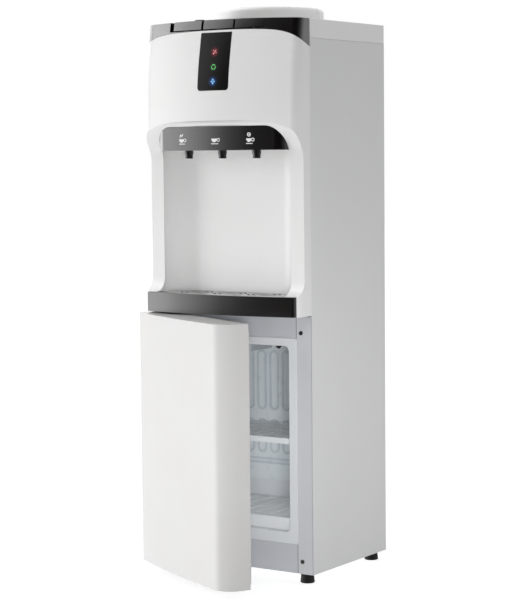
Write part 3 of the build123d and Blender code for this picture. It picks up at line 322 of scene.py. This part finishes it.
# Painted and plated metal
SIDE_PAINT = coated(
    "side_paint", grey(0.69, -0.002), grey(0.71, -0.002), 0.38, bump=0.09, grain=1300.0, wave=3.0,
)
# Painted shade: the front rails and kick panel get a darker, bluer copy of the side paint that stands in for
# the shade of the drip tray and door over them.
FRAME_PAINT_SHADED = coated(
    "frame_paint_shaded", (0.60, 0.615, 0.65), (0.62, 0.635, 0.67), 0.34, bump=0.06, grain=1300.0,
)
EVAPORATOR = coated("evaporator_paint", (0.87, 0.91, 0.93), (0.84, 0.89, 0.92), 0.28, bump=0.05)
BLACK_ENAMEL = coated("black_enamel", grey(0.016), grey(0.022), 0.3, bump=0.08, grain=700.0)
ZINC = coated(
    "zinc_plate", (0.55, 0.56, 0.58), (0.45, 0.46, 0.48), 0.38, spread=0.2, bump=0.05, wave=40.0,
    metallic=1.0,
)
STEEL = coated(
    "turned_steel", (0.60, 0.60, 0.61), (0.50, 0.50, 0.51), 0.28, spread=0.15, bump=0.04, wave=60.0,
    metallic=1.0,
)
# Painted shade: the side sheets' front-facing folds get a slightly darker, bluer tone that stands in for how
# light falls on them.
painted_shade_ahead(SIDE_PAINT, FOLD_FRONT, (0.665, 0.675, 0.705))
# Painted shade: the evaporator's raised channels get a darker, bluer tone that stands in for the shade on
# their flanks.
painted_shade_ahead(EVAPORATOR, CHANNEL_FRONT, (0.68, 0.745, 0.785))

# Foam, seals, caps and switches
FOAM = coated(
    "insulation_foam", (0.72, 0.64, 0.44), (0.62, 0.53, 0.34), 0.9, bump=0.5, grain=420.0,
    wave=60.0, specular=0.2,
)
SEAL = coated("seal_rubber", grey(0.60, 0.008), grey(0.55, 0.008), 0.6, bump=0.08, specular=0.3)
CAP_BLUE = coated("cap_blue", (0.03, 0.13, 0.42), (0.03, 0.11, 0.36), 0.35, bump=0.05)
CAP_RED = coated("cap_red", (0.45, 0.02, 0.02), (0.38, 0.02, 0.02), 0.35, bump=0.05)
ROCKER_RED = coated("rocker_red", (0.5, 0.015, 0.012), (0.42, 0.012, 0.01), 0.2, bump=0.02, coat=0.3)
ROCKER_GREEN = coated("rocker_green", (0.015, 0.26, 0.05), (0.012, 0.21, 0.04), 0.2, bump=0.02, coat=0.3)

# Printed and lit marks, and the painted shade of joint lines
PRINT_WHITE = coated("print_white", grey(0.86), grey(0.80), 0.5, bump=0.02)
# Painted shade: a dark material for the strips that stand in for the shade in the cabinet's joints.
SEAM_SHADOW = coated("seam_shadow", grey(0.05), grey(0.07), 0.8, bump=0.05, specular=0.2)
MARK_RED = lit_mark("mark_red", (0.80, 0.22, 0.26), 0.30)
MARK_GREEN = lit_mark("mark_green", (0.10, 0.62, 0.14), 0.50)
MARK_BLUE = lit_mark("mark_blue", (0.16, 0.42, 0.80), 0.38)

FINISH = {
    "front_fascia": WHITE_MOULDING, "top_cover": TOP_MOULDING, "bottle_collar": COLLAR_MOULDING,
    "bottle_probe": WHITE_MOULDING, "niche_panel": NICHE_MOULDING, "door_shell": DOOR_MOULDING_SHADED,
    "indicator_panel": PANEL_BLACK, "indicator_lenses": LENS_SMOKE, "control_band": DARK_GLOSS,
    "key_hot": DARK_GLOSS, "key_warm": DARK_GLOSS, "key_cold": DARK_GLOSS, "child_lock": DARK_SATIN,
    "tap_fascia": DARK_GLOSS, "taps": DARK_SATIN, "drip_tray": TRAY_GLOSS, "drip_grille": GRILLE_GLOSS,
    "key_rod": STEEL, "plunger_hot": DARK_SATIN, "plunger_warm": DARK_SATIN, "plunger_cold": DARK_SATIN,
    "side_left": SIDE_PAINT, "side_right": SIDE_PAINT, "rear_panel": SIDE_PAINT,
    "front_fixings": BLACK_ENAMEL,
    "front_rails": FRAME_PAINT_SHADED, "base_plate": ZINC, "bay_floor": ZINC, "foot_nuts": STEEL,
    "foot_front_left": BLACK_RUBBER, "foot_front_right": BLACK_RUBBER, "foot_rear_left": BLACK_RUBBER,
    "foot_rear_right": BLACK_RUBBER, "fridge_liner": LINER, "fridge_foam": FOAM, "evaporator": EVAPORATOR,
    "shelf": SHELF, "crisper_tray": SHELF, "thermostat_box": THERMO, "door_bushes": DARK_SATIN,
    "door_liner": LINER, "door_gasket": SEAL, "hinge_plates": ZINC, "hinge_pins": STEEL,
    "condenser": BLACK_ENAMEL, "condenser_clips": DARK_SATIN, "compressor": BLACK_ENAMEL,
    "compressor_mounts": BLACK_RUBBER, "tanks": STEEL, "tank_foam": FOAM, "tank_brackets": ZINC,
    "hoses": HOSE_WHITE, "drain_spouts": WHITE_MOULDING, "drain_cap_hot": CAP_RED,
    "drain_cap_cold": CAP_BLUE,
    "switch_bezel": DARK_SATIN, "switch_heat": ROCKER_RED, "switch_cool": ROCKER_GREEN,
    "cable_gland": BLACK_RUBBER, "rear_screws": STEEL,
}


# Angles between faces, in degrees: what counts as an edge to soften, and what is shaded smooth
SHARP_ANGLE = 40
SMOOTH_ANGLE = 34
MARK_SMOOTH_ANGLE = 30


def paint(obj, material):
    obj.data.materials.clear()
    obj.data.materials.append(material)


def link_piece(mesh, name, material, body):
    obj = bpy.data.objects.new(name, mesh)
    bpy.context.scene.collection.objects.link(obj)
    paint(obj, material)
    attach(obj, body)
    return obj


def finish_faces(bm, smooth_angle):
    """Shades the faces smooth and keeps the edges that turn by more than the angle."""
    for edge in bm.edges:
        edge.smooth = edge.is_manifold and edge.calc_face_angle(pi) < smooth_angle
    for face in bm.faces:
        face.smooth = True


def rounded(node, width):
    """A copy of a CAD node with its sharp edges softened as a mould or a press leaves them."""
    bm = bmesh.new()
    bm.from_mesh(nodes[node].data)
    bmesh.ops.remove_doubles(bm, verts=bm.verts, dist=2e-6)
    bmesh.ops.dissolve_degenerate(bm, dist=1e-6, edges=bm.edges)
    bmesh.ops.dissolve_limit(bm, angle_limit=radians(0.3), verts=bm.verts, edges=bm.edges, delimit={"NORMAL"})
    corners = [e for e in bm.edges if e.is_manifold and e.calc_face_angle(0) > radians(SHARP_ANGLE)]
    bmesh.ops.bevel(
        bm, geom=corners, offset=width * mm, offset_type="OFFSET", segments=2, profile=0.5,
        affect="EDGES", clamp_overlap=True, material=-1,
    )
    finish_faces(bm, radians(SMOOTH_ANGLE))
    mesh = bpy.data.meshes.new(node + "_skin")
    bm.to_mesh(mesh)
    bm.free()
    piece = link_piece(mesh, node + "_skin", FINISH[node], body_of_node[node])
    even = piece.modifiers.new("even_faces", "WEIGHTED_NORMAL")
    even.mode = "FACE_AREA"
    even.keep_sharp = True
    even.weight = 90
    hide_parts(node)
    return piece


# Small raised marks, laid on a CAD face
def lay(bm, verts, x, z, width=1.0, height=1.0, turn=0.0):
    """Stands flat vertices up in the front plane, stretches and turns them, and puts them at x, z."""
    bmesh.ops.rotate(bm, cent=(0, 0, 0), matrix=Matrix.Rotation(pi / 2, 3, "X"), verts=verts)
    bmesh.ops.scale(bm, vec=(width, 1, height), verts=verts)
    bmesh.ops.rotate(bm, cent=(0, 0, 0), matrix=Matrix.Rotation(turn, 3, "Y"), verts=verts)
    bmesh.ops.translate(bm, vec=(x * mm, 0, z * mm), verts=verts)


def add_disc(bm, x, z, radius, width=1.0, height=1.0, turn=0.0, count=28):
    made = bmesh.ops.create_circle(bm, cap_ends=True, segments=count, radius=radius * mm)["verts"]
    lay(bm, made, x, z, width, height, turn)
    return made


def add_bar(bm, x, z, width, height, turn=0.0):
    made = bmesh.ops.create_grid(bm, x_segments=1, y_segments=1, size=0.5 * mm)["verts"]
    lay(bm, made, x, z, width, height, turn)
    return made


def add_hoop(bm, x, z, radius, line, width=1.0, height=1.0):
    made = add_disc(bm, x, z, radius, width, height)
    face = made[0].link_faces[0]
    bmesh.ops.inset_region(bm, faces=[face], thickness=line * mm, use_boundary=True, use_even_offset=True)
    bmesh.ops.delete(bm, geom=[face], context="FACES")


def cut_flat(bm, verts, x, z, normal, keep_inner=True):
    """Cuts one laid shape with a straight line through x, z and drops the side the normal points to."""
    geom = list(verts)
    geom += list({edge for v in verts for edge in v.link_edges})
    geom += list({face for v in verts for face in v.link_faces})
    bmesh.ops.bisect_plane(
        bm, geom=geom, dist=1e-7, plane_co=(x * mm, 0, z * mm), plane_no=normal, clear_outer=keep_inner,
    )


def surface_of(names):
    """The joined surface of several CAD nodes, ready for ray casts."""
    bm = bmesh.new()
    for name in names:
        bm.from_mesh(nodes[name].data)
    tree = BVHTree.FromBMesh(bm)
    bm.free()
    return tree


def raise_marks(bm, name, seats, material, lift=0.12):
    """Gives the flat marks a thickness and seats them on the front faces of the named nodes."""
    front = surface_of(seats)
    faces = list(bm.faces)
    grown = bmesh.ops.extrude_face_region(bm, geom=faces)["geom"]
    outer = {v for v in grown if isinstance(v, bmesh.types.BMVert)}
    bmesh.ops.delete(bm, geom=[f for f in faces if f.is_valid], context="FACES_ONLY")
    for vert in bm.verts:
        hit = front.ray_cast(Vector((vert.co.x, -0.3, vert.co.z)), Vector((0, 1, 0)))[0]
        face_y = hit.y if hit else -0.05
        vert.co.y = face_y - lift * mm if vert in outer else face_y + 0.25 * mm
    loops = [e for e in bm.edges if e.is_boundary]
    bmesh.ops.holes_fill(bm, edges=loops)
    bmesh.ops.recalc_face_normals(bm, faces=bm.faces)
    finish_faces(bm, radians(MARK_SMOOTH_ANGLE))
    mesh = bpy.data.meshes.new(name)
    bm.to_mesh(mesh)
    bm.free()
    piece = link_piece(mesh, name, material, body_of_node[seats[0]])
    return piece


def make_cup(bm, x, z, half, deep):
    """A small bowl over a saucer line, with its handle at the right; x is the middle of the whole mark."""
    bowl = add_disc(bm, x - 2.6, z + deep * 0.45, half, 1.0, deep / half * 0.95)
    cut_flat(bm, bowl, x - 2.6, z + deep * 0.5, (0, 0, 1))
    add_bar(bm, x - 1.6, z - deep * 0.9, half * 2.5, 1.3)
    add_hoop(bm, x + half, z + 0.9, 3.2, 1.25)


def make_tap_marks():
    bm = bmesh.new()
    make_cup(bm, -71.6, 765.8, 4.9, 6.0)
    add_disc(bm, -76.4, 774.2, 1.9, 0.6, 1.7, radians(30))
    add_disc(bm, -72.4, 775.2, 1.7, 0.6, 1.9, radians(30))
    raise_marks(bm, "mark_hot_cup", ("tap_fascia",), PRINT_WHITE)
    bm = bmesh.new()
    make_cup(bm, -0.5, 766.0, 5.9, 6.4)
    raise_marks(bm, "mark_warm_cup", ("tap_fascia",), PRINT_WHITE)
    bm = bmesh.new()
    make_cup(bm, 70.0, 765.8, 5.2, 6.2)
    add_hoop(bm, 67.6, 775.4, 3.6, 1.5)
    add_bar(bm, 67.6, 775.4, 3.6, 1.2)
    raise_marks(bm, "mark_cold_cup", ("tap_fascia",), PRINT_WHITE)


def make_lamp_marks():
    seats = ("indicator_panel", "indicator_lenses")
    z = LAMP_HEIGHTS[0] / mm
    bm = bmesh.new()
    add_bar(bm, 0.4, z, 1.3, 8.0, radians(36))
    add_disc(bm, -1.9, z - 2.7, 1.5)
    add_disc(bm, 3.0, z - 1.4, 1.0)
    add_disc(bm, -2.4, z + 2.4, 1.0)
    raise_marks(bm, "mark_heating", seats, MARK_RED, 0.06)
    z = LAMP_HEIGHTS[1] / mm
    bm = bmesh.new()
    for k in range(3):
        for step in (-32, 0, 32):
            a = radians(90 + 120 * k + step)
            add_bar(bm, 3.9 * cos(a), z + 3.9 * sin(a), 1.15, 2.3, -a)
    raise_marks(bm, "mark_power", seats, MARK_GREEN, 0.06)
    z = LAMP_HEIGHTS[2] / mm
    bm = bmesh.new()
    for way in (1, -1):
        add_disc(bm, 0.2, z + way * 2.9, 3.1, 1.05, 0.8, pi if way < 0 else 0.0, count=3)
        add_disc(bm, 0.2 + way * 3.2, z, 2.0, 1.0, 0.8, way * pi / 2, count=3)
    add_bar(bm, 0.2, z, 8.4, 1.0)
    raise_marks(bm, "mark_cooling", seats, MARK_BLUE, 0.06)


def make_seam_shadows():
    """Painted shade along the joint lines of the cabinet front: thin dark strips laid where the fold meets
    the stile and where the stile meets the rails.
    """
    bm = bmesh.new()
    for side in (-1, 1):
        add_bar(bm, side * FOLD_X, (FRAME_TOP + FOOT_TOP) / 2, 1.3, FRAME_TOP - FOOT_TOP - 1)
        add_bar(bm, side * STILE_X, (FRAME_TOP + RAIL_Z) / 2, 0.9, FRAME_TOP - RAIL_Z - 2)
        add_bar(bm, side * STILE_X, (KICK_Z + FOOT_TOP) / 2, 0.9, KICK_Z - FOOT_TOP - 2)
    raise_marks(bm, "cabinet_seam_shadows", ("side_right", "side_left", "front_rails"), SEAM_SHADOW, 0.05)


body_of_node = {}
for body_name, members in frame["record"]["behaviour"]["bodies"].items():
    for member in members:
        body_of_node[member] = body_name

for node_name, node_object in nodes.items():
    paint(node_object, FINISH[node_name])


# Stage and light
def make_floor():
    material, tree, shader = new_material("pale_floor")
    shader.inputs["Base Color"].default_value = (0.9, 0.9, 0.9, 1)
    shader.inputs["Roughness"].default_value = 0.9
    glow = add(tree, "ShaderNodeEmission")
    glow.inputs["Color"].default_value = (1, 1, 1, 1)
    glow.inputs["Strength"].default_value = FLOOR_GLOW
    rays = add(tree, "ShaderNodeLightPath")
    share = add(tree, "ShaderNodeMath", operation="MULTIPLY")
    share.inputs[1].default_value = FLOOR_PLAIN_SHARE
    link(tree, rays.outputs["Is Camera Ray"], share.inputs[0])
    mix = add(tree, "ShaderNodeMixShader")
    link(tree, share.outputs[0], mix.inputs[0])
    link(tree, shader.outputs[0], mix.inputs[1])
    link(tree, glow.outputs[0], mix.inputs[2])
    link(tree, mix.outputs[0], tree.nodes["Material Output"].inputs["Surface"])
    bm = bmesh.new()
    bmesh.ops.create_grid(bm, x_segments=2, y_segments=2, size=FLOOR_SIZE)
    mesh = bpy.data.meshes.new("floor")
    bm.to_mesh(mesh)
    bm.free()
    floor = bpy.data.objects.new("floor", mesh)
    bpy.context.scene.collection.objects.link(floor)
    paint(floor, material)
    floor.visible_glossy = False


def make_world():
    world = bpy.data.worlds.new("studio")
    world.use_nodes = True
    bpy.context.scene.world = world
    tree = world.node_tree
    tree.nodes.clear()
    out = add(tree, "ShaderNodeOutputWorld")
    place = add(tree, "ShaderNodeTexCoord")
    split = add(tree, "ShaderNodeSeparateXYZ")
    ahead = add(tree, "ShaderNodeMath", operation="MULTIPLY")
    ahead.inputs[1].default_value = -1
    compass = add(tree, "ShaderNodeMath", operation="ARCTAN2")
    share = add(tree, "ShaderNodeMapRange")
    share.inputs["From Min"].default_value = -pi
    share.inputs["From Max"].default_value = pi
    curve = add(tree, "ShaderNodeFloatCurve")
    points = curve.mapping.curves[0].points
    top = max(v for _, v in GLOSS_STOPS)
    while len(points) < len(GLOSS_STOPS):
        points.new(0.5, 0.5)
    for point, (angle, value) in zip(points, GLOSS_STOPS):
        point.location = ((angle + 180) / 360, value / top)
        point.handle_type = "VECTOR"
    curve.mapping.update()
    level = add(tree, "ShaderNodeMath", operation="MULTIPLY")
    level.inputs[1].default_value = top
    link(tree, place.outputs["Generated"], split.inputs[0])
    link(tree, split.outputs["Y"], ahead.inputs[0])
    link(tree, split.outputs["X"], compass.inputs[0])
    link(tree, ahead.outputs[0], compass.inputs[1])
    link(tree, compass.outputs[0], share.inputs["Value"])
    link(tree, share.outputs["Result"], curve.inputs["Value"])
    link(tree, curve.outputs["Value"], level.inputs[0])
    fill = add(tree, "ShaderNodeBackground")
    fill.inputs["Color"].default_value = (1, 1, 1, 1)
    fill.inputs["Strength"].default_value = STUDIO_FILL
    gloss = add(tree, "ShaderNodeBackground")
    gloss.inputs["Color"].default_value = (1, 1, 1, 1)
    link(tree, level.outputs[0], gloss.inputs["Strength"])
    seen = add(tree, "ShaderNodeBackground")
    seen.inputs["Color"].default_value = (1, 1, 1, 1)
    seen.inputs["Strength"].default_value = 1.0
    rays = add(tree, "ShaderNodeLightPath")
    either = add(tree, "ShaderNodeMath", operation="MAXIMUM")
    link(tree, rays.outputs["Is Camera Ray"], either.inputs[0])
    link(tree, rays.outputs["Is Transmission Ray"], either.inputs[1])
    mirror = add(tree, "ShaderNodeMixShader")
    link(tree, rays.outputs["Is Glossy Ray"], mirror.inputs[0])
    link(tree, fill.outputs[0], mirror.inputs[1])
    link(tree, gloss.outputs[0], mirror.inputs[2])
    mix = add(tree, "ShaderNodeMixShader")
    link(tree, either.outputs[0], mix.inputs[0])
    link(tree, mirror.outputs[0], mix.inputs[1])
    link(tree, seen.outputs[0], mix.inputs[2])
    link(tree, mix.outputs[0], out.inputs["Surface"])


def soft_box(name, at, toward, width, height, watts):
    data = bpy.data.lights.new(name, "AREA")
    data.shape = "RECTANGLE"
    data.size = width
    data.size_y = height
    data.energy = watts
    lamp = bpy.data.objects.new(name, data)
    lamp.location = at
    lamp.rotation_euler = (Vector(toward) - Vector(at)).to_track_quat("-Z", "Y").to_euler()
    lamp.visible_glossy = False
    bpy.context.scene.collection.objects.link(lamp)
    return lamp


set_camera()
make_world()
make_floor()
BODY_CENTRE = (0, 0.05, 0.55)
soft_box("left_bank", (-3.0, -2.47, 1.38), BODY_CENTRE, 1.8, 1.8, 46)
soft_box("right_bank", (2.88, 1.10, 3.12), BODY_CENTRE, 1.8, 1.8, 9)
soft_box("top_bank", (-0.5, -1.3, 4.3), BODY_CENTRE, 1.8, 1.8, 26)
low_card = soft_box("low_card", (1.75, -2.35, 0.42), (0.02, 0.0, 0.28), 0.5, 0.5, 0.7)
low_card.data.spread = radians(24)
deck_card = soft_box("deck_card", (0.02, 0.05, 0.235), (0.04, 0.11, 0.09), 0.10, 0.06, 0.022)
deck_card.visible_camera = False

# Moulded, pressed and machined edges, softened: width in millimetres
SOFT_EDGES = {
    "door_shell": 0.9, "door_liner": 0.8, "top_cover": 0.8, "control_band": 0.25, "key_hot": 0.35,
    "key_warm": 0.35,
    "key_cold": 0.35, "tap_fascia": 0.5, "drip_tray": 0.9, "drip_grille": 0.4, "side_left": 0.4,
    "side_right": 0.4,
    "front_rails": 0.4, "bottle_collar": 1.0, "niche_panel": 0.5, "taps": 0.6, "fridge_liner": 0.8,
    "shelf": 0.4,
    "crisper_tray": 0.5, "base_plate": 0.3, "rear_panel": 0.3, "compressor": 1.0, "thermostat_box": 0.8,
    "switch_bezel": 0.4, "foot_front_left": 0.8, "foot_front_right": 0.8, "foot_rear_left": 0.8,
    "foot_rear_right": 0.8,
}
make_tap_marks()
make_lamp_marks()
make_seam_shadows()
for node_name, width in SOFT_EDGES.items():
    rounded(node_name, width)

scene = bpy.context.scene
scene.view_settings.view_transform = "Standard"
